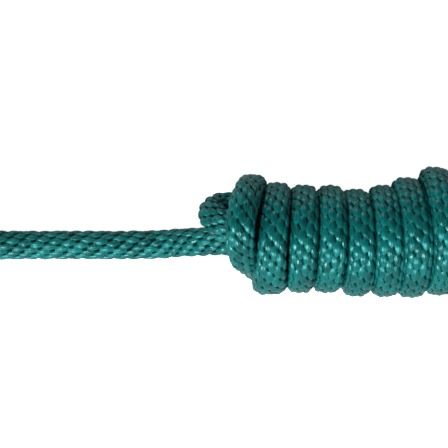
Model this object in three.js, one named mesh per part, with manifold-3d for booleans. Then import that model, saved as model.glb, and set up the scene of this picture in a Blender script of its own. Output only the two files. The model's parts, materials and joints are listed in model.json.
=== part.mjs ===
// Lead rope: a solid-braid rope wound into a hank, with a bolt snap on its leading end.
//
// Units are millimetres and +Z is up. The rope lies on the plane z = 0. The origin is the middle of
// the flat strip on which the hank rests, X runs along the hank, and the snap lies on the -X side.

import * as THREE from 'three';
import { mergeVertices } from 'three/addons/utils/BufferGeometryUtils.js';
import Module from 'manifold-3d';

const wasm = await Module();
wasm.setup();

// ---- Driving dimensions ---------------------------------------------------------------------

const ROPE_R = 8;                 // 16 mm rope
const ROPE_SIDES = 10;
const GAP = 0.3;                  // clearance between neighbouring solids

const WRAPS = 10;                 // turns around the core of the hank
const WRAP_PITCH = 15;            // 16 mm turns pressed together
const WRAP_OUTER_R = 30.5;        // outside radius of the even turns
const SWELL = 10;                 // how much further the fat turns reach on the +Y side
const FLATTENING = 0.8;           // how far the hank is pressed flat by its own weight
const HANK_SEGMENTS = 30;

const EYE_WIRE_R = 2.75;          // swivel eye: wire radius and inside radius
const EYE_INNER_R = 9.5;
const EYE_BAR_X = -242;           // where the rope turns round the eye's wire
const SNAP_Y = 4.75;              // the snap's axis lies between the two legs of the rope's loop
const SNAP_TILT = THREE.MathUtils.degToRad(5.5);

const CLAMP_LENGTH = 10;
const CLAMP_X = -216;
const CLAMP_WALL = 1.2;
const CLAMP_WAIST = 6.6;          // half height of the opening between the two legs
const CLAMP_SEGMENTS = 8;

const SHANK_R = 3;                // swivel shank and its rivet head
const HEAD_R = 4.3;
const BARREL_R = 7.5;
const BARREL_START = 22;          // distances along the snap's axis, from the eye's centre
const BARREL_END = 64;
const BORE_R = 4.35;
const BORE_START = 31;
const BOLT_R = 4;
const BOLT_START = 49.5;
const BOLT_TIP = 78.7;
const BOLT_STROKE = 13;
const STUD_X = 54.5;
const STUD_R = 2.2;
const HOOK_R = 4.4;
const SEAT_X = 96.1;              // flat inside the hook's crown, where a halter ring bears
const SPRING_WIRE_R = 0.45;
const SPRING_R = 3.3;
const SPRING_TURNS = 5.5;

// ---- Values that follow from them -------------------------------------------------------------

const EYE_MID_R = EYE_INNER_R + EYE_WIRE_R;
const EYE_CENTRE = new THREE.Vector3(EYE_BAR_X - EYE_MID_R, SNAP_Y, EYE_MID_R + EYE_WIRE_R + 0.2);
const LOOP_R = EYE_WIRE_R + ROPE_R + 2 * GAP;
const LEG_OFFSET = ROPE_R + GAP / 2;
const CLAMP_INNER_R = ROPE_R + GAP + 0.25;
const CLAMP_Z = CLAMP_INNER_R + CLAMP_WALL + 0.05;
const FIRST_WRAP_X = -WRAP_PITCH * (WRAPS - 1) / 2;

// ---- Materials ----------------------------------------------------------------------------------

const ropeMaterial = () => new THREE.MeshStandardMaterial({ color: 0x20716c, roughness: 0.6 });
const nickel = () => new THREE.MeshStandardMaterial({ color: 0xc9c6bf, roughness: 0.25, metalness: 1 });
const springSteel = () => new THREE.MeshStandardMaterial({ color: 0x8f9296, roughness: 0.35, metalness: 1 });

// ---- Helpers ------------------------------------------------------------------------------------

function named(name, geometry, material) {
  const mesh = new THREE.Mesh(geometry, material);
  mesh.name = name;
  return mesh;
}

// A closed three.js geometry as a solid that can be cut and joined.
function toSolid(geometry) {
  const bare = geometry.index ? geometry.clone() : geometry;
  bare.deleteAttribute('normal');
  bare.deleteAttribute('uv');
  const merged = mergeVertices(bare, 1e-4);
  return new wasm.Manifold(new wasm.Mesh({
    numProp: 3,
    vertProperties: new Float32Array(merged.attributes.position.array),
    triVerts: new Uint32Array(merged.index.array),
  }));
}

function toGeometry(solid) {
  const mesh = solid.getMesh();
  const geometry = new THREE.BufferGeometry();
  geometry.setAttribute('position', new THREE.BufferAttribute(new Float32Array(mesh.vertProperties), 3));
  geometry.setIndex(new THREE.BufferAttribute(new Uint32Array(mesh.triVerts), 1));
  geometry.computeVertexNormals();
  return geometry;
}

// A regular polygon with the area of the circle that it stands for.
function roundSection(radius, sides) {
  const corner = radius * Math.sqrt(Math.PI / (sides / 2 * Math.sin(2 * Math.PI / sides)));
  const shape = new THREE.Shape();
  for (let i = 0; i < sides; i += 1) {
    const angle = 2 * Math.PI * (i + 0.5) / sides;
    const point = [corner * Math.cos(angle), corner * Math.sin(angle)];
    if (i === 0) shape.moveTo(...point);
    else shape.lineTo(...point);
  }
  shape.closePath();
  return shape;
}

function tubeAlong(curve, radius, sides, steps) {
  return new THREE.ExtrudeGeometry(roundSection(radius, sides), { steps, extrudePath: curve });
}

function smoothCurve(points) {
  return new THREE.CatmullRomCurve3(points.map((point) => new THREE.Vector3(...point)), false, 'centripetal');
}

// A solid of revolution about the X axis, from [x, radius] pairs that start and end on the axis.
function turnedAboutX(profile, segments) {
  const points = profile.map(([x, radius]) => new THREE.Vector2(radius, x));
  return new THREE.LatheGeometry(points, segments).rotateZ(-Math.PI / 2);
}

function rodAlongX(start, end, radius, segments = 24) {
  return turnedAboutX([[start, 0], [start, radius], [end, radius], [end, 0]], segments);
}

function box(low, high) {
  const size = high.map((value, axis) => value - low[axis]);
  const centre = high.map((value, axis) => (value + low[axis]) / 2);
  return new THREE.BoxGeometry(...size).translate(...centre);
}

// ---- The hank -----------------------------------------------------------------------------------

// The turns beyond the middle are wound over thicker rope and reach further on the +Y side.
function swellAt(x) {
  const rise = THREE.MathUtils.smoothstep(x, 7, 40);
  const fall = THREE.MathUtils.smoothstep(x, 45, 85);
  return SWELL * rise * (1 - 0.4 * fall);
}

// Outer profile of the turns: one arc of rope a turn, between two end faces around the core.
function hankProfile() {
  const profile = [[-71, 0], [-71, 14.5], [-76, 19], [-78.2, 24]];
  for (let turn = 0; turn < WRAPS; turn += 1) {
    const centre = FIRST_WRAP_X + turn * WRAP_PITCH;
    for (const offset of [-WRAP_PITCH / 2, -4, 0, 4]) {
      const height = Math.sqrt(ROPE_R ** 2 - offset ** 2);
      profile.push([centre + offset, WRAP_OUTER_R - ROPE_R + height + swellAt(centre) / 2]);
    }
  }
  profile.push([75, 28], [80, 29.5], [85.5, 25], [86.4, 20], [82, 14.5], [82, 0]);
  return profile;
}

function makeHank() {
  const geometry = turnedAboutX(hankProfile(), HANK_SEGMENTS);
  const position = geometry.attributes.position;
  const restingAngle = 2.6 * Math.PI / HANK_SEGMENTS;
  for (let i = 0; i < position.count; i += 1) {
    const x = position.getX(i);
    const y = position.getY(i);
    const z = position.getZ(i);
    const centreZ = WRAP_OUTER_R + swellAt(x) / 2 - FLATTENING;
    const underneath = Math.atan2(Math.abs(y), -z) < restingAngle && Math.hypot(y, z) > 22;
    position.setY(i, y + swellAt(x) / 2);
    position.setZ(i, underneath ? 0 : Math.max(0, z + centreZ));
  }
  return named('rope_hank', toGeometry(toSolid(geometry)), ropeMaterial());
}

// The fold of the core at the hank's left end: the lower leg lies over the tail.
function makeLeftBight() {
  const curve = smoothCurve([
    [-79.8, 18.3, 24.7], [-82.5, 17.5, 26.2], [-84.6, 16, 28.8], [-85.3, 14.4, 31.8],
    [-84.6, 12.8, 34.7], [-82.5, 11.3, 37.3], [-79.8, 10.5, 38.8],
  ]);
  return named('rope_left_bight', tubeAlong(curve, ROPE_R - 0.6, ROPE_SIDES, 12), ropeMaterial());
}

// The fold at the other end, where the core turns back beside itself.
function makeRightBight() {
  const curve = smoothCurve([
    [88.2, -5.2, 24], [92, -6, 23.8], [99, -7.7, 21.6], [106, -3.9, 19.6], [108.5, 3.6, 19],
    [106, 11.1, 19.6], [99, 14.9, 21.6], [92, 13.2, 23.8], [88.2, 12.4, 24],
  ]);
  return named('rope_right_bight', tubeAlong(curve, ROPE_R, ROPE_SIDES, 20), ropeMaterial());
}

// ---- The tail, and the loop in its end that holds the snap's eye ------------------------------------

function tailRoute() {
  const legNear = SNAP_Y - LEG_OFFSET;
  const legFar = SNAP_Y + LEG_OFFSET;
  const eyeZ = EYE_CENTRE.z;
  const route = [
    [-79, -1, 20], [-90, -1.3, 15.8], [-102, -2, 11], [-116, -3, 8.8], [-135, legNear, 8.4],
    [-165, legNear, 8.4], [-193, legNear, 8.6], [-208, legNear, CLAMP_Z], [-224, legNear, CLAMP_Z],
    [-229, SNAP_Y - 8.9, 11.2], [-235.5, SNAP_Y - 10.6, 14.4],
  ];
  for (const degrees of [-90, -55, -20, 20, 55, 90]) {
    const angle = THREE.MathUtils.degToRad(degrees);
    route.push([EYE_BAR_X - LOOP_R * Math.cos(angle), SNAP_Y + LOOP_R * Math.sin(angle), eyeZ]);
  }
  route.push(
    [-235.5, SNAP_Y + 10.6, 14.4], [-229, SNAP_Y + 8.9, 11.2], [-224, legFar, CLAMP_Z],
    [-208.5, legFar, CLAMP_Z],
  );
  return route;
}

function makeTail() {
  return named('rope_tail', tubeAlong(smoothCurve(tailRoute()), ROPE_R, ROPE_SIDES, 56), ropeMaterial());
}

// Outline of the clamp's band: two arcs round the rope's legs, drawn together between them.
function clampOutline(radius, waist) {
  const shape = new THREE.Shape();
  const turn = THREE.MathUtils.degToRad(115);
  const joinY = LEG_OFFSET + radius * Math.cos(turn);
  const joinZ = radius * Math.sin(turn);
  shape.absarc(LEG_OFFSET, 0, radius, -turn, turn, false);
  shape.quadraticCurveTo(joinY * 0.4, waist, 0, waist);
  shape.quadraticCurveTo(-joinY * 0.4, waist, -joinY, joinZ);
  shape.absarc(-LEG_OFFSET, 0, radius, Math.PI - turn, Math.PI + turn, false);
  shape.quadraticCurveTo(-joinY * 0.4, -waist, 0, -waist);
  shape.quadraticCurveTo(joinY * 0.4, -waist, joinY, -joinZ);
  return shape;
}

function makeClamp() {
  const outline = clampOutline(CLAMP_INNER_R + CLAMP_WALL, CLAMP_WAIST + CLAMP_WALL);
  const opening = clampOutline(CLAMP_INNER_R, CLAMP_WAIST);
  outline.holes.push(new THREE.Path(opening.getPoints(CLAMP_SEGMENTS).reverse()));
  const geometry = new THREE.ExtrudeGeometry(outline, {
    depth: CLAMP_LENGTH, curveSegments: CLAMP_SEGMENTS, bevelEnabled: false,
  });
  geometry.translate(0, 0, -CLAMP_LENGTH / 2).rotateX(Math.PI / 2).rotateZ(Math.PI / 2);
  const mesh = named('rope_clamp', geometry, nickel());
  mesh.position.set(CLAMP_X, SNAP_Y, CLAMP_Z);
  return mesh;
}

// ---- The bolt snap, drawn along its own +X axis from the centre of the swivel eye -------------------

function makeSwivelEye() {
  const ring = toSolid(new THREE.TorusGeometry(EYE_MID_R, EYE_WIRE_R, 12, 28).rotateX(Math.PI / 2));
  const shank = toSolid(turnedAboutX([
    [EYE_MID_R - 1, 0], [EYE_MID_R - 1, 3.6], [BARREL_START - 3, SHANK_R], [25.2, SHANK_R],
    [25.2, HEAD_R], [28.2, HEAD_R], [28.8, HEAD_R - 0.8], [28.8, 0],
  ], 20));
  return named('swivel_eye', toGeometry(ring.add(shank)), nickel());
}

// Barrel with a collar at each end, as a closed turned solid.
function barrelSolid() {
  return toSolid(turnedAboutX([
    [BARREL_START, 0], [BARREL_START, 5.4], [BARREL_START + 1.5, 6.6], [30, 6.9], [31, BARREL_R + 0.5],
    [33.5, BARREL_R + 0.5], [34.5, BARREL_R], [BARREL_END - 3.5, BARREL_R],
    [BARREL_END - 3, BARREL_R + 0.4], [BARREL_END - 0.8, BARREL_R + 0.4], [BARREL_END, BARREL_R - 0.4],
    [BARREL_END, 0],
  ], 28));
}

// The hook leaves the barrel's side, passes round the throat and comes back to the axis as the nose.
function hookSolid() {
  const curve = smoothCurve([
    [48, 3.5, 0], [56, 8.5, 0], [64, 14.5, 0], [73, 19.4, 0], [84, 21, 0], [93.5, 18, 0],
    [99.6, 11.5, 0], [99.8, 4, 0], [94.5, -0.6, 0], [87, 0, 0], [BOLT_TIP + GAP, 0, 0],
  ]);
  return toSolid(tubeAlong(curve, HOOK_R, 12, 30));
}

function makeSnapBody() {
  const swivelPocket = rodAlongX(24.9, 29.1, HEAD_R + GAP);
  const swivelHole = rodAlongX(BARREL_START - 1, 26, SHANK_R + GAP);
  const bore = rodAlongX(BORE_START, BARREL_END + 3, BORE_R, 28);
  const slotEnd = STUD_X + STUD_R + GAP;
  const slotStart = STUD_X - BOLT_STROKE - STUD_R - GAP;
  const slot = box([slotStart, -12, -STUD_R - GAP], [slotEnd, 0, STUD_R + GAP]);
  const seatCut = box([88, 5.5, -6], [SEAT_X, 13.5, 6]);
  const body = [swivelPocket, swivelHole, bore, slot, seatCut]
    .reduce((solid, cut) => solid.subtract(toSolid(cut)), barrelSolid().add(hookSolid()));
  return named('snap_body', toGeometry(body), nickel());
}

function makeBolt() {
  const bolt = toSolid(turnedAboutX([
    [BOLT_START, 0], [BOLT_START, BOLT_R - 0.6], [BOLT_START + 0.6, BOLT_R],
    [BOLT_TIP - 1, BOLT_R], [BOLT_TIP, BOLT_R - 1], [BOLT_TIP, 0],
  ], 24));
  const studHole = new THREE.CylinderGeometry(1.5, 1.5, 6, 16).translate(STUD_X, -3, 0);
  return named('snap_bolt', toGeometry(bolt.subtract(toSolid(studHole))), nickel());
}

// The stud's tenon sits in the bolt, its neck runs in the slot and its knob takes the thumb.
function makeThumbStud() {
  const profile = [
    [0, -0.3], [1.2, -0.3], [1.2, -4.4], [STUD_R, -4.4], [STUD_R, -8.4], [3.6, -8.9], [4.2, -10.2],
    [3.9, -11.8], [2.6, -12.9], [0, -13.2],
  ].map(([radius, y]) => new THREE.Vector2(radius, y)).reverse();
  const geometry = new THREE.LatheGeometry(profile, 20).translate(STUD_X, 0, 0);
  return named('thumb_stud', geometry, nickel());
}

class Helix extends THREE.Curve {
  constructor(start, end, radius, turns) {
    super();
    Object.assign(this, { start, end, radius, turns });
  }

  getPoint(t, target = new THREE.Vector3()) {
    const angle = 2 * Math.PI * this.turns * t;
    const x = THREE.MathUtils.lerp(this.start, this.end, t);
    return target.set(x, this.radius * Math.cos(angle), this.radius * Math.sin(angle));
  }
}

function makeSpring() {
  const clearance = SPRING_WIRE_R + GAP;
  const helix = new Helix(BORE_START + clearance, BOLT_START - clearance, SPRING_R, SPRING_TURNS);
  return named('bolt_spring', tubeAlong(helix, SPRING_WIRE_R, 6, 72), springSteel());
}

function makeSnap() {
  const snap = new THREE.Group();
  snap.add(makeSwivelEye(), makeSnapBody(), makeBolt(), makeThumbStud(), makeSpring());
  snap.position.copy(EYE_CENTRE);
  snap.rotation.set(0, -SNAP_TILT, Math.PI, 'YXZ');
  return snap;
}

// ---- Assembly -----------------------------------------------------------------------------------

const leadRope = new THREE.Group();
leadRope.add(makeHank(), makeLeftBight(), makeRightBight(), makeTail(), makeClamp(), makeSnap());

export default leadRope;
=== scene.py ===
"""Lead rope: a teal solid-braid rope wound into a hank, with a bolt snap on its leading end.

Lengths that describe the rope are in millimetres, as in the CAD model; Blender objects are in metres.
"""
import json
import math
import bmesh
import bpy
import numpy as np
from mathutils import Matrix, Vector


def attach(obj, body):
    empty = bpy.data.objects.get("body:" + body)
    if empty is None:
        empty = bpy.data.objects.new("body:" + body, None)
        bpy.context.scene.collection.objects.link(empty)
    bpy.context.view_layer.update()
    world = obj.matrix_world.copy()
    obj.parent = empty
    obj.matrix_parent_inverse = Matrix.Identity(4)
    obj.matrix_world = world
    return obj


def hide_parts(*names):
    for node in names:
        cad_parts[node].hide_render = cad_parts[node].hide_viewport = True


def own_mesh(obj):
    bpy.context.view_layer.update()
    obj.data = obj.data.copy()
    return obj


MM = 0.001
ROPE_R = 8.0
SNAP_Y = 4.75          # the snap's axis
LEG = 8.15             # each leg of the loop, from the snap's axis
CLAMP_Z = 9.8
EYE_BAR_X = -242.0     # where the rope turns round the eye's wire
LOOP_R = 11.35
EYE_Z = 15.2
SEED = 16

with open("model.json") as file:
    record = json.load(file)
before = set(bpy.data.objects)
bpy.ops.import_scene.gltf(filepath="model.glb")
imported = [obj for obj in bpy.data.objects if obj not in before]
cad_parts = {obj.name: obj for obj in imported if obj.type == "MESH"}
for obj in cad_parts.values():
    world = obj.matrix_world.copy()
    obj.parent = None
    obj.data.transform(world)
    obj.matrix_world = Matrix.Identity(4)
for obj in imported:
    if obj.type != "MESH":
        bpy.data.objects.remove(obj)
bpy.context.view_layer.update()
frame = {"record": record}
rng = np.random.default_rng(SEED)


# ---- Camera: straight down on the hank's left part --------------------------------------------

CAMERA_PLACE = (-0.079, 0.0086, 0.670)
CAMERA_LENS = 93.2


def make_camera():
    data = bpy.data.cameras.new("camera")
    data.lens = CAMERA_LENS
    data.clip_start = 0.01
    camera = bpy.data.objects.new("camera", data)
    camera.location = CAMERA_PLACE
    bpy.context.collection.objects.link(camera)
    bpy.context.scene.camera = camera


# ---- The rope's route -------------------------------------------------------------------------

def tail_points():
    """From the short leg's end, round the snap's eye and along the tail to the hank."""
    near, far = SNAP_Y - LEG, SNAP_Y + LEG
    points = [
        (-208.5, far, CLAMP_Z), (-224, far, CLAMP_Z), (-229, SNAP_Y + 8.9, 11.2),
        (-235.5, SNAP_Y + 10.6, 14.4),
    ]
    for degrees in (90, 55, 20, -20, -55, -90):
        angle = math.radians(degrees)
        points.append((EYE_BAR_X - LOOP_R * math.cos(angle), SNAP_Y + LOOP_R * math.sin(angle), EYE_Z))
    points += [
        (-235.5, SNAP_Y - 10.6, 14.4), (-229, SNAP_Y - 8.9, 11.2), (-224, near, CLAMP_Z),
        (-208, near, CLAMP_Z), (-193, near, 8.6), (-165, near, 8.4), (-135, near, 8.4), (-116, -3, 8.8),
        (-102, -2, 11), (-90, -1.3, 15.8), (-79, -1, 20),
    ]
    return points


# Three runs along the core, joined by the fold at each end of the hank.
CORE_POINTS = [
    (-62, -3.5, 24), (-40, -6, 25), (0, -6, 26), (45, -5, 27), (75, -5, 26),
    (88.2, -5.2, 24), (92, -6, 23.8), (99, -7.7, 21.6), (106, -3.9, 19.6), (108.5, 3.6, 19),
    (106, 11.1, 19.6), (99, 14.9, 21.6), (92, 13.2, 23.8), (88.2, 12.4, 24),
    (75, 12, 26), (45, 9, 27), (0, 7, 26), (-40, 8, 26), (-61, 12.2, 25.5), (-71, 16.8, 24.8),
    (-79.8, 18.3, 24.7), (-82.5, 17.5, 26.2), (-84.6, 16, 28.8), (-85.3, 14.4, 31.8),
    (-84.6, 12.8, 34.7), (-82.5, 10.4, 37.4), (-79.4, 8.2, 39),
    (-70, 4.5, 39.5), (-58, 3, 39), (-40, 1, 38.5), (0, 0, 39), (45, 2, 41), (66, 3, 43),
]

# The rope leaves the core at its right end and opens out, below the fold, into the first turn wound.
RISE_POINTS = [
    (77, 0.5, 45), (84, -8, 43.5), (86, -17.5, 36), (84.5, -22, 25), (81, -17, 14),
    (77.5, -5, 8.6), (74.5, 10, 8.2), (72, 21.5, 13.5), (70.3, 28.6, 23.5),
]

# Each turn, in the order wound: crown x, lean and bow over the top, outer radius, centre y.
TURNS = [
    (68.5, 2.0, 0.6, 34.0, 3.6),
    (53.8, 2.4, 0.8, 35.0, 4.4),
    (38.3, 2.7, 1.1, 35.2, 4.7),
    (23.7, 2.7, 1.5, 33.0, 1.2),
    (9.3, 1.3, 0.4, 30.9, -0.7),
    (-5.4, 0.6, 1.0, 29.8, -1.7),
    (-20.4, -1.8, 1.0, 29.8, 0.3),
    (-36.3, -2.1, -0.3, 29.9, 0.4),
    (-53.0, -4.1, -1.1, 31.0, 0.6),
]
PRESSED = 0.8          # the hank is pressed flat by its own weight
STEPS_A_TURN = 16
LAST_STEP = 1.45       # where LAST_POINTS takes over from the last of these turns, in half turns
LAST_FOOT_X = -59.0    # and the X that it heads for underneath
LOWEST_CENTRE = ROPE_R - 0.3

# The end of the rope: a turn that lies askew over its neighbour and is tucked under it.
LAST_POINTS = [
    (-57.2, -2, 8), (-59.6, 14, 10.2), (-61.6, 24, 19.5), (-63.2, 27.9, 32), (-65.6, 25.2, 45),
    (-68.6, 17.5, 54.5), (-70.4, 7.5, 58.5), (-70.3, -0.5, 56), (-68.7, -6.8, 49.5), (-65.9, -10.2, 40.5),
    (-63.2, -11.6, 30), (-60.8, -13.2, 20), (-57.4, -16.4, 12.5), (-52.5, -16.5, 12), (-45, -12.5, 16),
    (-37, -9, 18), (-28, -7, 18),
]


def turn_points():
    """The turns round the core: each leans as it passes over the top and moves on underneath."""
    points = []
    for number, (crown, lean, bow, outer, centre_y) in enumerate(TURNS):
        radius = outer - ROPE_R
        centre_z = outer - PRESSED
        bottom = crown - bow + lean / 2
        top = crown - bow - lean / 2
        last = number + 1 == len(TURNS)
        if last:
            following = (LAST_FOOT_X, outer, centre_y)
        else:
            crown_n, lean_n, bow_n, outer_n, centre_n = TURNS[number + 1]
            following = (crown_n - bow_n - lean_n / 2, outer_n, centre_n)
        for step in range(STEPS_A_TURN):
            angle = 2 * math.pi * step / STEPS_A_TURN
            if last and angle > LAST_STEP * math.pi:
                break
            if angle <= math.pi:
                u = -math.cos(angle)
                x = (top + bottom) / 2 + u * lean / 2 + bow * (1 - u * u)
                mix = 0.0
            else:
                mix = (1 - math.cos(angle - math.pi)) / 2
                x = bottom + (following[0] - bottom) * mix
            r = radius + (following[1] - outer) * mix
            y = centre_y + (following[2] - centre_y) * mix + r * math.cos(angle)
            z = centre_z + (following[1] - outer) * mix + r * math.sin(angle)
            points.append((x, y, max(z, LOWEST_CENTRE)))
    return points


KNOT_POWER = 0.7       # below 1, so that the curve overshoots less where the points are uneven
FINE_SPACING = 0.25


def smooth_path(points, spacing):
    """A natural cubic spline through the points, sampled at about the given spacing."""
    points = np.array(points, float)
    steps = np.linalg.norm(np.diff(points, axis=0), axis=1) ** KNOT_POWER
    count = len(points)
    matrix = np.zeros((count, count))
    right = np.zeros((count, 3))
    matrix[0, 0] = matrix[-1, -1] = 1
    for i in range(1, count - 1):
        before, after = steps[i - 1], steps[i]
        matrix[i, i - 1], matrix[i, i], matrix[i, i + 1] = before, 2 * (before + after), after
        right[i] = 6 * ((points[i + 1] - points[i]) / after - (points[i] - points[i - 1]) / before)
    bend = np.linalg.solve(matrix, right)
    samples = []
    for i in range(count - 1):
        h = steps[i]
        inside = max(2, int(np.linalg.norm(points[i + 1] - points[i]) / FINE_SPACING))
        t = np.linspace(0, 1, inside, endpoint=False)[:, None]
        a, b = 1 - t, t
        samples.append(a * points[i] + b * points[i + 1]
                       + h * h / 6 * ((a ** 3 - a) * bend[i] + (b ** 3 - b) * bend[i + 1]))
    samples.append(points[-1:])
    return resample(np.vstack(samples), spacing)


def arc_lengths(path):
    return np.concatenate([[0], np.cumsum(np.linalg.norm(np.diff(path, axis=0), axis=1))])


def resample(path, spacing):
    along = arc_lengths(path)
    wanted = np.linspace(0, along[-1], int(along[-1] / spacing) + 1)
    return np.stack([np.interp(wanted, along, path[:, k]) for k in range(3)], axis=1)


# ---- The braid --------------------------------------------------------------------------------

WALES = 12             # columns of stitches around the rope
COLUMNS = 8            # mesh columns to a wale
RINGS = 14             # mesh rings to a stitch
STITCH = 7.26          # pitch of the stitches along a wale, on straight rope
LOOSE_TWIST = 0.175    # how far the wales drift round for each millimetre along the straight tail
WOUND_TWIST = 0.075    # and along the turns, where winding has undone some of it
TWIST_CHANGES = (-55.0, 15.0)       # from this X, over this length
LOOSE_SLANT = math.radians(10.5)
WOUND_SLANT = math.radians(6.0)
RELIEF = 1.8
CREST = 8.3            # radius over the tops of the stitches
SQUARENESS = 3.0       # the turns press each other out of round
PRESSED_HALF_WIDTH = 7.95           # of a turn, along X
MELTED_LENGTH = 3.0    # each end of the rope is sealed with heat
MELTED_HEIGHT = 0.75
MELTED_TAPER = 0.85
FLOOR_GAP = 0.15
UV_SCALE = 0.01

# A stitch on the wound turns, and what is added to it on the loose tail.
HALF_LENGTH = (5.0, -0.25)
HALF_WIDTH = (2.70, -0.22)
POINT = (1.6, 0.1)         # higher for blunter ends
BOW = (1.5, 0.5)           # higher for fuller sides
FULLNESS = (0.46, 0.02)    # lower for steeper flanks
SEAM_DEPTH = (0.12, 0.10)
SEAM_WIDTH = 0.16

# How one stitch differs from the next. There are more variations than stitches, so that none repeats.
VARIATIONS = 20011
OWN_TURN = 0.22
OWN_HEIGHT = (0.92, 0.16)

# Stitches lie closer where the rope bends, up to a sharpest bend, in radians for each millimetre.
CLOSER = 0.75
SHARPEST_BEND = 0.11
BEND_SAMPLES = 41

# How far the hank reaches along X each way, the lengths over which its ends ease into round rope, and
# the place, reach and strength of the widening of the turns at its lower left, as the camera sees it.
HANK_END = 86.0
EASE_LEFT, EASE_RIGHT = 14.0, 6.0
SPREAD_X, SPREAD_Y = -56.0, -26.0
SPREAD_REACH_X, SPREAD_REACH_Y = 7.0, 12.0
SPREAD = 0.30


def travelling_frames(path):
    """Tangents and a normal carried along the path with no twist of its own."""
    tangents = np.gradient(path, axis=0)
    tangents /= np.linalg.norm(tangents, axis=1)[:, None]
    normals = np.zeros_like(path)
    first = np.cross(tangents[0], (0, 0, 1))
    normals[0] = first / np.linalg.norm(first)
    for i in range(1, len(path)):
        n = normals[i - 1] - tangents[i] * np.dot(normals[i - 1], tangents[i])
        normals[i] = n / np.linalg.norm(n)
    return tangents, normals


def smoothed(values, width):
    kernel = np.hanning(width + 2)[1:-1]
    kernel /= kernel.sum()
    padded = np.pad(values, (width // 2, width - 1 - width // 2), mode="edge")
    return np.convolve(padded, kernel, mode="valid")


def stitch_relief(phase, across, twist, variation, loose):
    """The braid's height at each point, and where that point lies in the stitch on top.

    Points are given in stitches along the rope and wales around it.
    """
    best = np.zeros_like(phase)
    second = np.zeros_like(phase)
    local_along = np.zeros_like(phase)
    local_across = np.zeros_like(phase)
    owner = np.zeros(phase.shape, int)
    width = 2 * math.pi * ROPE_R / WALES
    slant = WOUND_SLANT + (LOOSE_SLANT - WOUND_SLANT) * loose
    cos_s, sin_s = np.cos(slant), np.sin(slant)
    half_length, half_width, point, bow, fullness, seam_depth = (
        wound + added * loose for wound, added in (HALF_LENGTH, HALF_WIDTH, POINT, BOW, FULLNESS, SEAM_DEPTH)
    )
    near = np.floor(across).astype(int)
    for wale_step in (-1, 0, 1):
        wale = near + wale_step
        offset = 0.5 * (wale % 2)
        nearest = np.round(phase - offset).astype(int)
        for step in (-1, 0, 1):
            stitch = nearest + step
            key = (stitch * WALES + wale % WALES) % len(variation)
            d_along = (phase - stitch - offset) * STITCH
            d_around = (across - wale - 0.5) * width + twist * d_along
            turn = OWN_TURN * (variation[key] - 0.5)
            along = (d_along * (cos_s + turn * sin_s) - d_around * (sin_s - turn * cos_s)) / half_length
            side = (d_along * (sin_s - turn * cos_s) + d_around * (cos_s + turn * sin_s)) / half_width
            inside = np.clip(1 - np.abs(along) ** point - np.abs(side) ** bow, 0, 1)
            height = inside ** fullness * (OWN_HEIGHT[0] + OWN_HEIGHT[1] * variation[key])
            better = height > best
            second = np.where(better, best, np.maximum(second, height))
            best = np.where(better, height, best)
            local_along = np.where(better, along, local_along)
            local_across = np.where(better, side, local_across)
            owner = np.where(better, key, owner)
    seam = np.exp(-((best - second) / SEAM_WIDTH) ** 2)
    return best * (1 - seam_depth * seam), local_along, local_across, owner


def share_in_hank(centre):
    """1 where the rope is in the hank, 0 where it is free."""
    x = centre[:, 0]
    return np.clip((x + HANK_END) / EASE_LEFT, 0, 1) * np.clip((HANK_END - x) / EASE_RIGHT, 0, 1)


def make_rope(path):
    """The whole rope as one tube with the braid in its surface, pressed out of round in the hank."""
    tangents, normals = travelling_frames(path)
    binormals = np.cross(tangents, normals)
    along = arc_lengths(path)
    spacing = along[1]
    turning = np.linalg.norm(np.gradient(tangents, axis=0), axis=1) / spacing
    turning = smoothed(turning, BEND_SAMPLES)
    rate = (1 + CLOSER * ROPE_R * np.minimum(turning, SHARPEST_BEND)) / STITCH
    phase_at = np.concatenate([[0], np.cumsum((rate[1:] + rate[:-1]) / 2 * spacing)])
    rings = np.arange(0, phase_at[-1], 1 / RINGS)
    at = np.interp(rings, phase_at, along)

    def on_rings(values):
        return np.stack([np.interp(at, along, values[:, k]) for k in range(3)], axis=1)

    centre, normal, binormal = on_rings(path), on_rings(normals), on_rings(binormals)
    wound = share_in_hank(centre)
    twist_share = np.clip((centre[:, 0] - TWIST_CHANGES[0]) / TWIST_CHANGES[1], 0, 1)
    twist = LOOSE_TWIST + (WOUND_TWIST - LOOSE_TWIST) * twist_share
    turned = np.concatenate([[0], np.cumsum(twist[1:] * np.diff(at))]) / ROPE_R
    columns = WALES * COLUMNS
    around = np.arange(columns) / COLUMNS
    phase, across = np.meshgrid(rings, around, indexing="ij")
    variation = rng.random(VARIATIONS)
    height, local_along, local_across, owner = stitch_relief(
        phase, across, twist[:, None], variation, 1 - wound[:, None])
    angle = 2 * math.pi * across / WALES + turned[:, None]
    outward = normal[:, None, :] * np.cos(angle)[..., None] + binormal[:, None, :] * np.sin(angle)[..., None]
    sideways = np.abs(outward[..., 0])
    upright = np.sqrt(np.maximum(1 - sideways ** 2, 0))
    spread = np.exp(-((centre[:, :1] - SPREAD_X) / SPREAD_REACH_X) ** 2
                    - ((centre[:, 1:2] - SPREAD_Y) / SPREAD_REACH_Y) ** 2)
    half_width = PRESSED_HALF_WIDTH * (1 + SPREAD * spread)
    square = ((sideways * CREST / half_width) ** SQUARENESS + upright ** SQUARENESS) ** (-1 / SQUARENESS)
    section = 1 + (square - 1) * wound[:, None]
    from_end = np.minimum(at - at[0], at[-1] - at)[:, None]
    melted = np.clip(1 - from_end / MELTED_LENGTH, 0, 1)
    height = height + (MELTED_HEIGHT - height) * melted
    radius = (CREST * section - RELIEF * (1 - height)) * np.sqrt(1 - MELTED_TAPER * melted ** 2)
    vertices = centre[:, None, :] + outward * radius[..., None]
    vertices[..., 2] = np.maximum(vertices[..., 2], FLOOR_GAP)
    return build_tube("rope", vertices * MM, {
        "stitch_along": local_along, "stitch_across": local_across,
        "stitch_tone": variation[owner], "stitch_height": height, "melted": melted + 0 * height,
    }, rings, around)


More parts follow.
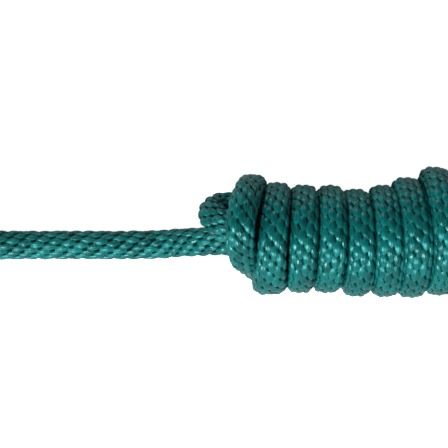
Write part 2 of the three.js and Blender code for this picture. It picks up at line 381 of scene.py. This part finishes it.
def build_tube(name, vertices, attributes, rings, around):
    """A smooth closed tube from rings of vertices, with its attributes and a UV map along the braid."""
    ring_count, columns, _ = vertices.shape
    index = np.arange(ring_count * columns).reshape(ring_count, columns)
    a, b = index[:-1], index[1:]
    quads = np.stack([a, np.roll(a, -1, axis=1), np.roll(b, -1, axis=1), b], axis=-1).reshape(-1, 4)
    caps = [index[0][::-1], index[-1]]
    mesh = bpy.data.meshes.new(name)
    total = len(quads) * 4 + 2 * columns
    mesh.vertices.add(ring_count * columns)
    mesh.vertices.foreach_set("co", vertices.astype(np.float32).ravel())
    mesh.loops.add(total)
    mesh.loops.foreach_set("vertex_index", np.concatenate([quads.ravel(), *caps]).astype(np.int32))
    mesh.polygons.add(len(quads) + 2)
    starts = np.concatenate([np.arange(len(quads)) * 4, [len(quads) * 4, len(quads) * 4 + columns]])
    mesh.polygons.foreach_set("loop_start", starts.astype(np.int32))
    mesh.update(calc_edges=True)
    for key, values in attributes.items():
        layer = mesh.attributes.new(key, "FLOAT", "POINT")
        layer.data.foreach_set("value", values.astype(np.float32).ravel())
    lay = mesh.uv_layers.new(name="braid")
    ring_of, column_of = np.divmod(quads, columns)
    wrapped = (column_of == 0) & (np.arange(4) != 0) & (column_of[:, :1] == columns - 1)
    v = around[column_of] + WALES * wrapped
    uv = np.stack([rings[ring_of] * STITCH, v * 2 * math.pi * ROPE_R / WALES], axis=-1) * UV_SCALE
    flat = np.concatenate([uv.reshape(-1, 2), np.zeros((2 * columns, 2))])
    lay.data.foreach_set("uv", flat.astype(np.float32).ravel())
    mesh.polygons.foreach_set("use_smooth", np.ones(len(quads) + 2, bool))
    mesh.validate()
    piece = bpy.data.objects.new(name, mesh)
    bpy.context.collection.objects.link(piece)
    return piece


# ---- Materials --------------------------------------------------------------------------------

BLACK, WHITE = (0, 0, 0, 1), (1, 1, 1, 1)


def grey(level):
    return (level, level, level, 1)


class Nodes:
    """A short way to write a material's nodes."""

    def __init__(self, name):
        self.material = bpy.data.materials.new(name)
        self.material.use_nodes = True
        self.tree = self.material.node_tree
        self.shader = self.tree.nodes["Principled BSDF"]

    def add(self, kind, settings=None, **inputs):
        node = self.tree.nodes.new(kind)
        for key, value in (settings or {}).items():
            setattr(node, key, value)
        for key, value in inputs.items():
            self.put(node.inputs[key.replace("_", " ")], value)
        return node

    def put(self, socket, value):
        if isinstance(value, bpy.types.NodeSocket):
            self.tree.links.new(value, socket)
        else:
            socket.default_value = value

    def attribute(self, name):
        return self.add("ShaderNodeAttribute", {"attribute_name": name}).outputs["Fac"]

    def math(self, operation, first, second=0.0):
        node = self.tree.nodes.new("ShaderNodeMath")
        node.operation = operation
        self.put(node.inputs[0], first)
        self.put(node.inputs[1], second)
        return node.outputs[0]

    def mix(self, factor, first, second):
        node = self.add("ShaderNodeMix", {"data_type": "RGBA"})
        self.put(node.inputs["Factor"], factor)
        self.put(node.inputs[6], first)
        self.put(node.inputs[7], second)
        return node.outputs[2]

    def ramp(self, factor, *stops):
        node = self.tree.nodes.new("ShaderNodeValToRGB")
        self.put(node.inputs[0], factor)
        elements = node.color_ramp.elements
        while len(elements) < len(stops):
            elements.new(0.5)
        for element, (place, colour) in zip(elements, stops):
            element.position = place
            element.color = colour
        return node.outputs[0]

    def fade(self, factor, start, end):
        """Black up to the start, white from the end on."""
        return self.ramp(factor, (start, BLACK), (end, WHITE))

    def bump(self, height, strength, distance):
        node = self.add("ShaderNodeBump", Strength=strength, Distance=distance, Height=height)
        return node.outputs["Normal"]


def rope_material():
    """Glossy teal filaments that run the length of each stitch, with painted shade in the gaps between the
    stitches and a painted highlight on each stitch's shoulders.
    """
    n = Nodes("braided_rope")
    height = n.attribute("stitch_height")
    tone = n.attribute("stitch_tone")
    stitch_apart = n.math("MULTIPLY", tone, 90.0)
    place = n.add("ShaderNodeCombineXYZ", X=n.attribute("stitch_across"), Y=n.attribute("stitch_along"),
                  Z=stitch_apart).outputs[0]
    streaks = n.add("ShaderNodeMapping", Vector=place, Scale=(7.0, 0.9, 1.0)).outputs[0]
    fibres = n.add("ShaderNodeTexNoise", Vector=streaks, Scale=1.0, Detail=4.0, Roughness=0.7).outputs["Fac"]
    yarns = n.add("ShaderNodeTexWave", {"bands_direction": "X"}, Vector=place, Scale=0.85, Distortion=1.6,
                  Detail=1.0, Detail_Scale=1.0).outputs["Fac"]
    # painted shade: the near-black colour that the gaps between the stitches are darkened to
    painted_gap_shade = (0.0002, 0.006, 0.007, 1)
    dark = (0.0003, 0.066, 0.065, 1)
    light = (0.0008, 0.148, 0.144, 1)
    # a lighter teal, used both for bleached fibre streaks and for the painted highlight on the stitches'
    # shoulders
    bleached_fibre_and_rim_highlight = (0.016, 0.36, 0.335, 1)
    melted = (0.0008, 0.030, 0.030, 1)
    body = n.mix(tone, dark, light)
    body = n.mix(n.fade(fibres, 0.52, 0.78), body, bleached_fibre_and_rim_highlight)
    # painted highlight: a lighter band on each stitch's shoulders, between its crown and the seams
    rim = n.ramp(height, (0.50, BLACK), (0.68, WHITE), (0.90, BLACK))
    body = n.mix(n.math("MULTIPLY", rim, 0.16), body, bleached_fibre_and_rim_highlight)
    # painted shade: the low parts of the braid, between the stitches, are darkened towards the near-black
    # colour
    colour = n.mix(n.fade(height, 0.26, 0.56), painted_gap_shade, body)
    colour = n.mix(n.fade(n.attribute("melted"), 0.15, 0.55), colour, melted)
    n.put(n.shader.inputs["Base Color"], colour)
    polish = n.math("ADD", n.math("MULTIPLY", tone, 0.18), 0.21)
    n.put(n.shader.inputs["Roughness"], n.mix(n.fade(height, 0.22, 0.44), WHITE, polish))
    n.put(n.shader.inputs["Metallic"], 0.3)
    n.put(n.shader.inputs["Specular IOR Level"], 0.4)
    n.put(n.shader.inputs["Specular Tint"],
          n.ramp(height, (0.40, (0, 1, 1, 1)), (0.60, WHITE), (0.95, (0.7, 1, 1, 1))))
    n.put(n.shader.inputs["Anisotropic"], 0.75)
    n.put(n.shader.inputs["Anisotropic Rotation"], 0.25)
    n.put(n.shader.inputs["Tangent"],
          n.add("ShaderNodeTangent", {"direction_type": "UV_MAP", "uv_map": "braid"}).outputs[0])
    ridges = n.math("ADD", n.math("MULTIPLY", fibres, 0.7), n.math("MULTIPLY", yarns, 0.5))
    n.put(n.shader.inputs["Normal"], n.bump(ridges, 0.6, 0.0003))
    return n.material


# Each metal: its bright and dull colours, its least and greatest roughness, and its marks, which are
# noise of this scale, stretched by these factors.
METALS = {
    "nickel_plate": ((0.70, 0.68, 0.63, 1), (0.52, 0.50, 0.45, 1), 0.14, 0.34, 900.0, (1, 1, 1)),
    "rolled_clamp": ((0.64, 0.63, 0.60, 1), (0.42, 0.41, 0.38, 1), 0.26, 0.46, 700.0, (6, 0.5, 0.5)),
    "spring_steel": ((0.50, 0.50, 0.51, 1), (0.30, 0.30, 0.31, 1), 0.22, 0.42, 1500.0, (1, 1, 1)),
}


def metal_material(name, bright, dull, gloss, satin, marks, stretch):
    """Metal with marks that vary its colour and roughness, and edges brighter than the rest."""
    n = Nodes(name)
    place = n.add("ShaderNodeTexCoord").outputs["Object"]
    broad = n.add("ShaderNodeTexNoise", Vector=place, Scale=70.0, Detail=3.0).outputs["Fac"]
    lined = n.add("ShaderNodeMapping", Vector=place, Scale=stretch).outputs[0]
    fine = n.add("ShaderNodeTexNoise", Vector=lined, Scale=marks, Detail=5.0, Roughness=0.65).outputs["Fac"]
    edges = n.add("ShaderNodeNewGeometry").outputs["Pointiness"]
    worn = n.fade(edges, 0.47, 0.54)
    tarnish = n.mix(n.fade(broad, 0.38, 0.66), dull, bright)
    marked = n.mix(n.math("MULTIPLY", fine, 0.5), tarnish, dull)
    n.put(n.shader.inputs["Base Color"], n.mix(worn, marked, bright))
    n.put(n.shader.inputs["Metallic"], 1.0)
    scuffs = n.math("ADD", n.math("MULTIPLY", fine, 0.6), n.math("MULTIPLY", broad, 0.4))
    n.put(n.shader.inputs["Roughness"], n.ramp(scuffs, (0.35, grey(gloss)), (0.70, grey(satin))))
    n.put(n.shader.inputs["Normal"], n.bump(fine, 0.12, 0.00008))
    return n.material


def make_metals():
    return {name: metal_material(name, *look) for name, look in METALS.items()}


def floor_material():
    """White paper to the camera, and grey to the object, so that it doesn't flood it with light."""
    n = Nodes("floor")
    grain = n.add("ShaderNodeTexNoise", Scale=30.0, Detail=2.0).outputs["Fac"]
    paper = n.ramp(grain, (0.3, grey(0.86)), (0.7, grey(0.88)))
    seen = n.add("ShaderNodeLightPath").outputs["Is Camera Ray"]
    n.put(n.shader.inputs["Base Color"], n.mix(seen, grey(0.45), paper))
    n.put(n.shader.inputs["Roughness"], 0.9)
    n.put(n.shader.inputs["Emission Color"], WHITE)
    n.put(n.shader.inputs["Emission Strength"], n.math("MULTIPLY", seen, 0.95))
    return n.material


# ---- Metal pieces, in millimetres along the snap's own +X axis ----------------------------------

EYE_WIRE_R, EYE_MID_R = 2.75, 12.25
SHANK_R, HEAD_R, BARREL_R, BORE_R, BOLT_R = 3.0, 4.3, 7.5, 4.35, 4.0
BARREL_START, BARREL_END, BORE_START = 22.0, 64.0, 31.0
BOLT_START, BOLT_TIP, BOLT_STROKE = 49.5, 78.7, 13.0
STUD_X, STUD_R = 54.5, 2.2
HOOK_R, SEAT_X = 4.4, 96.1
SPRING_WIRE_R, SPRING_R, SPRING_TURNS = 0.45, 3.3, 5.5
CLAMP_X, CLAMP_LENGTH, CLAMP_WALL, CLAMP_INNER_R, CLAMP_WAIST = -216.0, 10.0, 1.2, 8.55, 6.6
CLAMP_GROOVE, CLAMP_LIP = 0.85, 0.8
CLAMP_ARC = math.radians(115)
SEAM_SINK, SEAM_HALF_WIDTH = 0.45, 0.3      # where the band's ends meet, on its top
GAP = 0.3

HOOK_POINTS = [
    (48, 3.5, 0), (56, 8.5, 0), (64, 14.5, 0), (73, 19.4, 0), (84, 21, 0), (93.5, 18, 0),
    (99.6, 11.5, 0), (99.8, 4, 0), (94.5, -0.6, 0), (87, 0, 0), (BOLT_TIP + GAP, 0, 0),
]


def snap_place():
    """The snap's own axes in the frame: +X points away from the rope, and the hook's back is at +Y."""
    swivel = next(j for j in frame["record"]["behaviour"]["joints"] if j["name"] == "swivel_spin")
    along = Vector(swivel["axis"]).normalized()
    across = Vector((0, -1, 0))
    place = Matrix((along, across, along.cross(across))).transposed().to_4x4()
    place.translation = Vector(swivel["pos_m"])
    return place @ Matrix.Scale(MM, 4)


def surface(name, grid, closed=False):
    """A mesh over rings of points.

    A closed one joins its last ring to its first, and an open one has a cap at each end.
    """
    grid = np.asarray(grid, float)
    count, around, _ = grid.shape
    index = np.arange(count * around).reshape(count, around)
    a = index if closed else index[:-1]
    b = np.roll(index, -1, axis=0) if closed else index[1:]
    quads = np.stack([a, np.roll(a, -1, axis=1), np.roll(b, -1, axis=1), b], axis=-1).reshape(-1, 4).tolist()
    caps = [] if closed else [index[0][::-1].tolist(), index[-1].tolist()]
    mesh = bpy.data.meshes.new(name)
    mesh.from_pydata(grid.reshape(-1, 3).tolist(), [], quads + caps)
    mesh.update()
    piece = bpy.data.objects.new(name, mesh)
    bpy.context.collection.objects.link(piece)
    return piece


def rounded(profile, radius, steps=5):
    """The profile with each of its corners turned into a short curve."""
    points = [np.array(p, float) for p in profile]
    result = [points[0]]
    for before, corner, after in zip(points, points[1:], points[2:]):
        reach_in = min(radius, np.linalg.norm(before - corner) * 0.45)
        reach_out = min(radius, np.linalg.norm(after - corner) * 0.45)
        start = corner + (before - corner) / np.linalg.norm(before - corner) * reach_in
        end = corner + (after - corner) / np.linalg.norm(after - corner) * reach_out
        for t in np.linspace(0, 1, steps):
            result.append((1 - t) ** 2 * start + 2 * t * (1 - t) * corner + t * t * end)
    return result + [points[-1]]


def turned(name, profile, segments=64, ribs=0, rib_depth=0.0):
    """A solid of revolution about X, from (x, radius) pairs, with ribs where it is widest."""
    angle = np.linspace(0, 2 * math.pi, segments, endpoint=False)
    widest = max(r for _, r in profile)
    rings = []
    for x, r in profile:
        depth = rib_depth * (r / widest) ** 6
        radius = max(r, 0.02) - depth * (0.5 + 0.5 * np.cos(ribs * angle))
        rings.append(np.stack([np.full(segments, x), radius * np.cos(angle), radius * np.sin(angle)], axis=1))
    return surface(name, rings)


def swept(name, points, radius, spacing=0.8, segments=40):
    """A round bar that follows a flat path in the snap's XY plane."""
    path = smooth_path(points, spacing)
    tangents = np.gradient(path, axis=0)
    tangents /= np.linalg.norm(tangents, axis=1)[:, None]
    side = np.cross((0, 0, 1.0), tangents)
    angle = np.linspace(0, 2 * math.pi, segments, endpoint=False)
    size = radius(arc_lengths(path))[:, None]
    rings = (path[:, None, :] + side[:, None, :] * (size * np.cos(angle))[..., None]
             + np.array((0, 0, 1.0)) * (size * np.sin(angle))[..., None])
    return surface(name, rings)


def prism(name, outline, low, high, axis):
    """An outline in the plane across an axis, drawn out along it."""
    rings = []
    for level in (low, high):
        rings.append([tuple(np.insert(point, axis, level)) for point in outline])
    return surface(name, rings)


def stadium(start, end, radius, steps=16):
    """A slot's outline: two half circles joined by straight sides."""
    outline = []
    for centre, first in ((end - radius, -math.pi / 2), (start + radius, math.pi / 2)):
        for angle in np.linspace(first, first + math.pi, steps):
            outline.append((centre + radius * math.cos(angle), radius * math.sin(angle)))
    return outline


def apply_modifiers(piece):
    depsgraph = bpy.context.evaluated_depsgraph_get()
    mesh = bpy.data.meshes.new_from_object(piece.evaluated_get(depsgraph))
    piece.modifiers.clear()
    piece.data = mesh


def combine(piece, operation, *tools):
    for tool in tools:
        recalculate(tool)
        modifier = piece.modifiers.new("combine", "BOOLEAN")
        modifier.operation = operation
        modifier.solver = "EXACT"
        modifier.object = tool
        apply_modifiers(piece)
        bpy.data.objects.remove(tool)


def recalculate(piece):
    """Point every face outwards."""
    shape = bmesh.new()
    shape.from_mesh(piece.data)
    bmesh.ops.recalc_face_normals(shape, faces=shape.faces)
    shape.to_mesh(piece.data)
    shape.free()


def cast(piece, voxel, passes):
    """Soften every edge and inside corner, as in a casting."""
    remesh = piece.modifiers.new("cast", "REMESH")
    remesh.mode = "VOXEL"
    remesh.voxel_size = voxel
    smooth = piece.modifiers.new("soften", "SMOOTH")
    smooth.factor = 0.5
    smooth.iterations = passes
    apply_modifiers(piece)


def finish_metal(piece, place, metals, slot, body, *nodes):
    recalculate(piece)
    piece.data.transform(place)
    piece.data.polygons.foreach_set("use_smooth", [True] * len(piece.data.polygons))
    piece.data.materials.append(metals[slot])
    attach(piece, body)
    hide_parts(*nodes)


def make_swivel_eye(place, metals):
    turn = np.linspace(0, 2 * math.pi, 96, endpoint=False)
    section = np.linspace(0, 2 * math.pi, 32, endpoint=False)
    reach = EYE_MID_R + EYE_WIRE_R * np.cos(section)
    height = EYE_WIRE_R * np.sin(section)
    rings = [np.stack([reach * math.cos(t), height, reach * math.sin(t)], axis=1) for t in turn]
    eye = surface("eye", rings, closed=True)
    recalculate(eye)
    shank = turned("shank", [
        (EYE_MID_R - 1.5, 0), (EYE_MID_R - 1.5, 4.0), (EYE_MID_R + 3.2, 3.5), (BARREL_START - 3, SHANK_R),
        (25.2, SHANK_R), (25.2, HEAD_R), (28.2, HEAD_R), (28.8, HEAD_R - 0.8), (28.8, 0),
    ])
    combine(eye, "UNION", shank)
    cast(eye, 0.3, 4)
    finish_metal(eye, place, metals, "nickel_plate", "eye", "swivel_eye")


def make_snap_body(place, metals):
    body = turned("snap", rounded([
        (BARREL_START, 0), (BARREL_START, 5.4), (BARREL_START + 1.6, 6.7), (29.6, 6.9),
        (30.6, BARREL_R + 0.5), (33.6, BARREL_R + 0.5), (34.6, BARREL_R - 0.3),
        (BARREL_END - 4.2, BARREL_R - 0.3),
        (BARREL_END - 3.2, BARREL_R + 0.5), (BARREL_END - 0.9, BARREL_R + 0.5), (BARREL_END, BARREL_R - 0.5),
        (BARREL_END, 0),
    ], 0.7))
    recalculate(body)
    hook = swept("hook", HOOK_POINTS, lambda along: HOOK_R + 0.5 * np.exp(-along / 12))
    combine(body, "UNION", hook)
    drill = [
        ("pocket", 24.9, 29.1, HEAD_R + GAP),
        ("hole", BARREL_START - 1, 26, SHANK_R + GAP),
        ("bore", BORE_START, BARREL_END + 3, BORE_R),
    ]
    pocket, hole, bore = (turned(name, [(a, 0), (a, r), (b, r), (b, 0)]) for name, a, b, r in drill)
    slot_start, slot_end = STUD_X - BOLT_STROKE - STUD_R - GAP, STUD_X + STUD_R + GAP
    slot = prism("slot", stadium(slot_start, slot_end, STUD_R + GAP), -12, 0, 1)
    seat = prism("seat", [(88, 5.5), (SEAT_X, 5.5), (SEAT_X, 13.5), (88, 13.5)], -6, 6, 2)
    combine(body, "DIFFERENCE", pocket, hole, bore, slot, seat)
    cast(body, 0.36, 4)
    finish_metal(body, place, metals, "nickel_plate", "snap", "snap_body")


def make_bolt(place, metals):
    bolt = turned("bolt", rounded([
        (BOLT_START, 0), (BOLT_START, BOLT_R), (BOLT_TIP, BOLT_R), (BOLT_TIP, 0),
    ], 1.1, steps=8))
    finish_metal(bolt, place, metals, "nickel_plate", "bolt", "snap_bolt")


def make_thumb_stud(place, metals):
    stud = turned("stud", rounded([
        (4.2, 0), (4.2, STUD_R), (8.2, STUD_R), (8.9, 3.4), (9.4, 4.2), (11.4, 4.2), (12.3, 3.4),
        (13.1, 2.0), (13.2, 0),
    ], 0.5), segments=96, ribs=24, rib_depth=0.28)
    upright = Matrix.Translation((STUD_X, 0, 0)) @ Matrix.Rotation(-math.pi / 2, 4, "Z")
    finish_metal(stud, place @ upright, metals, "nickel_plate", "bolt", "thumb_stud")


def make_spring(place, metals):
    clearance = SPRING_WIRE_R + GAP
    turn = np.linspace(0, 2 * math.pi * SPRING_TURNS, 240)
    x = np.linspace(BORE_START + clearance, BOLT_START - clearance, len(turn))
    path = np.stack([x, SPRING_R * np.cos(turn), SPRING_R * np.sin(turn)], axis=1)
    tangents = np.gradient(path, axis=0)
    tangents /= np.linalg.norm(tangents, axis=1)[:, None]
    outward = np.stack([0 * turn, np.cos(turn), np.sin(turn)], axis=1)
    side = np.cross(tangents, outward)
    section = np.linspace(0, 2 * math.pi, 12, endpoint=False)
    rings = (path[:, None, :] + SPRING_WIRE_R * (outward[:, None, :] * np.cos(section)[:, None]
                                                  + side[:, None, :] * np.sin(section)[:, None]))
    spring = surface("spring", rings)
    finish_metal(spring, place, metals, "spring_steel", "snap", "bolt_spring")
    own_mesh(spring)


def clamp_outline(outset, steps=40):
    """The band's outline in (y, z): an arc round each leg of the rope, drawn together between them."""
    radius, waist = CLAMP_INNER_R + outset, CLAMP_WAIST + outset
    join = np.array((LEG + radius * math.cos(CLAMP_ARC), radius * math.sin(CLAMP_ARC)))
    outline = []
    for side in (1, -1):
        for angle in np.linspace(-CLAMP_ARC, CLAMP_ARC, steps):
            outline.append((side * (LEG + radius * math.cos(angle)), side * radius * math.sin(angle)))
        pulled = join[0] * 0.4
        ends = np.array((join, (pulled, waist), (0, waist), (-pulled, waist), join * (-1, 1)))
        for start, pull, end in ((ends[0], ends[1], ends[2]), (ends[2], ends[3], ends[4])):
            for t in np.linspace(0, 1, steps, endpoint=False)[1:]:
                outline.append(side * ((1 - t) ** 2 * start + 2 * t * (1 - t) * pull + t * t * end))
    return np.array(outline)


def make_clamp(metals):
    half = CLAMP_LENGTH / 2
    profile = rounded([
        (0, 0), (half, 0), (half, CLAMP_LIP), (half - 0.5, CLAMP_WALL), (half - 1.3, CLAMP_WALL),
        (half - 1.9, CLAMP_GROOVE), (1.9 - half, CLAMP_GROOVE), (1.3 - half, CLAMP_WALL),
        (0.5 - half, CLAMP_WALL), (-half, CLAMP_LIP), (-half, 0), (0, 0),
    ], 0.35, steps=4)[:-1]
    rings = []
    for x, outset in profile:
        outline = clamp_outline(outset)
        seam = np.exp(-(outline[:, 0] / SEAM_HALF_WIDTH) ** 2) * (outline[:, 1] > 0) * (outset > 0.5)
        height = outline[:, 1] - SEAM_SINK * seam
        rings.append(np.stack([np.full(len(outline), x), outline[:, 0], height], axis=1))
    clamp = surface("clamp", rings, closed=True)
    place = Matrix.Translation(Vector((CLAMP_X, SNAP_Y, CLAMP_Z)) * MM) @ Matrix.Scale(MM, 4)
    finish_metal(clamp, place, metals, "rolled_clamp", "rope", "rope_clamp")
    return clamp


# ---- Floor and light --------------------------------------------------------------------------

FLOOR_REACH = 3.0
LIT_PLACE = (-0.05, 0, 0.03)

# The studio's walls are brighter in front of the object than behind it.
FRONT_LIGHT, BACK_LIGHT = 0.72, 0.09
FRONT_FROM, BACK_FROM = -0.9, 0.1


def make_floor():
    mesh = bpy.data.meshes.new("floor")
    corners = [(x * FLOOR_REACH, y * FLOOR_REACH, 0) for x, y in ((-1, -1), (1, -1), (1, 1), (-1, 1))]
    mesh.from_pydata(corners, [], [(0, 1, 2, 3)])
    floor = bpy.data.objects.new("floor", mesh)
    floor.data.materials.append(floor_material())
    bpy.context.collection.objects.link(floor)


def area_light(name, place, target, size, power):
    data = bpy.data.lights.new(name, "AREA")
    data.shape = "DISK"
    data.size = size
    data.energy = power
    lamp = bpy.data.objects.new(name, data)
    lamp.location = place
    lamp.rotation_euler = (Vector(target) - Vector(place)).to_track_quat("-Z", "Y").to_euler()
    bpy.context.collection.objects.link(lamp)


def make_lights():
    area_light("key", (-0.75, -0.90, 1.33), LIT_PLACE, 0.7, 42)
    area_light("rim", (-0.35, 1.3, 0.16), LIT_PLACE, 0.7, 5)
    world = bpy.data.worlds.new("studio")
    world.use_nodes = True
    tree = world.node_tree
    lighting = tree.nodes["Background"]
    lighting.inputs["Color"].default_value = WHITE
    direction = tree.nodes.new("ShaderNodeTexCoord").outputs["Generated"]
    from_front = tree.nodes.new("ShaderNodeSeparateXYZ")
    tree.links.new(direction, from_front.inputs[0])
    strength = tree.nodes.new("ShaderNodeMapRange")
    strength.interpolation_type = "SMOOTHSTEP"
    tree.links.new(from_front.outputs["Y"], strength.inputs["Value"])
    for socket, value in (("From Min", BACK_FROM), ("From Max", FRONT_FROM),
                          ("To Min", BACK_LIGHT), ("To Max", FRONT_LIGHT)):
        strength.inputs[socket].default_value = value
    tree.links.new(strength.outputs["Result"], lighting.inputs["Strength"])
    backdrop = tree.nodes.new("ShaderNodeBackground")
    backdrop.inputs["Color"].default_value = WHITE
    seen = tree.nodes.new("ShaderNodeLightPath")
    mixed = tree.nodes.new("ShaderNodeMixShader")
    tree.links.new(seen.outputs["Is Camera Ray"], mixed.inputs[0])
    tree.links.new(lighting.outputs[0], mixed.inputs[1])
    tree.links.new(backdrop.outputs[0], mixed.inputs[2])
    tree.links.new(mixed.outputs[0], tree.nodes["World Output"].inputs["Surface"])
    bpy.context.scene.world = world


# ---- Assembly ---------------------------------------------------------------------------------

ROUTE_SPACING = 0.5

bpy.context.scene.view_settings.view_transform = "Standard"
make_camera()
points = tail_points() + CORE_POINTS + RISE_POINTS + turn_points() + LAST_POINTS
route = smooth_path(points, ROUTE_SPACING)
rope = make_rope(route)
rope.data.materials.append(rope_material())
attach(rope, "rope")
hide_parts("rope_hank", "rope_left_bight", "rope_right_bight", "rope_tail")
metals = make_metals()
clamp = make_clamp(metals)

snap_axes = snap_place()
for make_piece in (make_swivel_eye, make_snap_body, make_bolt, make_thumb_stud, make_spring):
    make_piece(snap_axes, metals)

make_floor()
make_lights()
